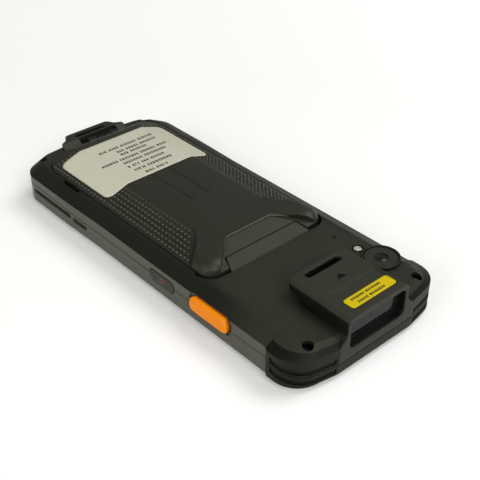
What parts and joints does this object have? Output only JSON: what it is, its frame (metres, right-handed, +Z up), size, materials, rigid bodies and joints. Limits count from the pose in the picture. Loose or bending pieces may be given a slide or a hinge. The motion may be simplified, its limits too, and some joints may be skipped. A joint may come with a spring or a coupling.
{
  "type": "portable barcode data terminal",
  "caption": "Handheld barcode data terminal lying on its screen, with a raised scanner head, removable battery pack, strap slots and side keys.",
  "frame": {"origin": "centre of the bounding box's bottom, under the middle of the terminal as it lies on its screen side", "axes": "+Z up, out of the back; +Y along the terminal towards the scanner head; +X to the side with the power key"},
  "size_m": [0.0705, 0.165, 0.022],
  "materials": {
    "case_plastic": "fine matt texture",
    "pack_plastic": "fine matt texture with a ribbed grip",
    "latch_plastic": "satin",
    "key_black": "satin",
    "key_orange": "satin with fine dots",
    "window_glass": "dark tinted",
    "lens_glass": "polished",
    "camera_glass": "polished",
    "ring_plastic": "matt",
    "flash_plastic": "frosted clear",
    "screen_glass": "polished",
    "display": "polished",
    "chassis": "cast",
    "circuit_board": "solder mask",
    "flex": "polyimide",
    "shield_steel": "tinned",
    "screw_black": "blackened",
    "module_black": "moulded",
    "contact_plastic": "moulded",
    "motor_steel": "drawn can",
    "led": "phosphor",
    "cell_wrap": "foil wrap",
    "gasket_rubber": "moulded"
  },
  "bodies": {
    "root": {"front_case": "case_plastic", "back_case": "case_plastic", "scan_head_cover": "case_plastic", "scan_window": "window_glass", "scan_lenses": "lens_glass", "camera_window": "camera_glass", "camera_ring": "ring_plastic", "flash_lens": "flash_plastic", "display_glass": "screen_glass", "display_module": "display", "midframe": "chassis", "mainboard": "circuit_board", "usb_board": "circuit_board", "key_flex": "flex", "shield_cans": "shield_steel", "card_socket": "shield_steel", "usb_socket": "shield_steel", "board_screws": "shield_steel", "case_screws": "screw_black", "scan_engine": "module_black", "camera_module": "module_black", "speaker": "module_black", "receiver": "module_black", "front_camera": "module_black", "microphone": "module_black", "key_switches": "module_black", "battery_contacts": "contact_plastic", "vibration_motor": "motor_steel", "flash_led": "led", "case_gasket": "gasket_rubber"},
    "battery": {"battery_shell": "pack_plastic", "battery_cover": "pack_plastic", "battery_cell": "cell_wrap"},
    "latch": {"battery_latch": "latch_plastic"},
    "scan_key_left": {"scan_key_left": "key_orange"},
    "power_key": {"power_key": "key_black"},
    "volume_up_key": {"volume_up_key": "key_black"},
    "volume_down_key": {"volume_down_key": "key_black"}
  },
  "joints": [
    {"name": "battery_tilt", "type": "hinge", "parent": "root", "child": "battery", "pos_m": [0, 0.029, 0.013], "axis": [-1, 0, 0], "range_deg": [0, 3]},
    {"name": "latch_slide", "type": "slide", "parent": "root", "child": "latch", "axis": [1, 0, 0], "range_m": [0, 0.0034]},
    {"name": "scan_key_left_press", "type": "slide", "parent": "root", "child": "scan_key_left", "axis": [-1, 0, 0], "range_m": [0, 0.0006], "stiffness_N_per_m": 900, "springref_m": -0.0003},
    {"name": "power_key_press", "type": "slide", "parent": "root", "child": "power_key", "axis": [-1, 0, 0], "range_m": [0, 0.0004], "stiffness_N_per_m": 900, "springref_m": -0.0003},
    {"name": "volume_up_key_press", "type": "slide", "parent": "root", "child": "volume_up_key", "axis": [1, 0, 0], "range_m": [0, 0.0004], "stiffness_N_per_m": 900, "springref_m": -0.0003},
    {"name": "volume_down_key_press", "type": "slide", "parent": "root", "child": "volume_down_key", "axis": [1, 0, 0], "range_m": [0, 0.0004], "stiffness_N_per_m": 900, "springref_m": -0.0003}
  ]
}
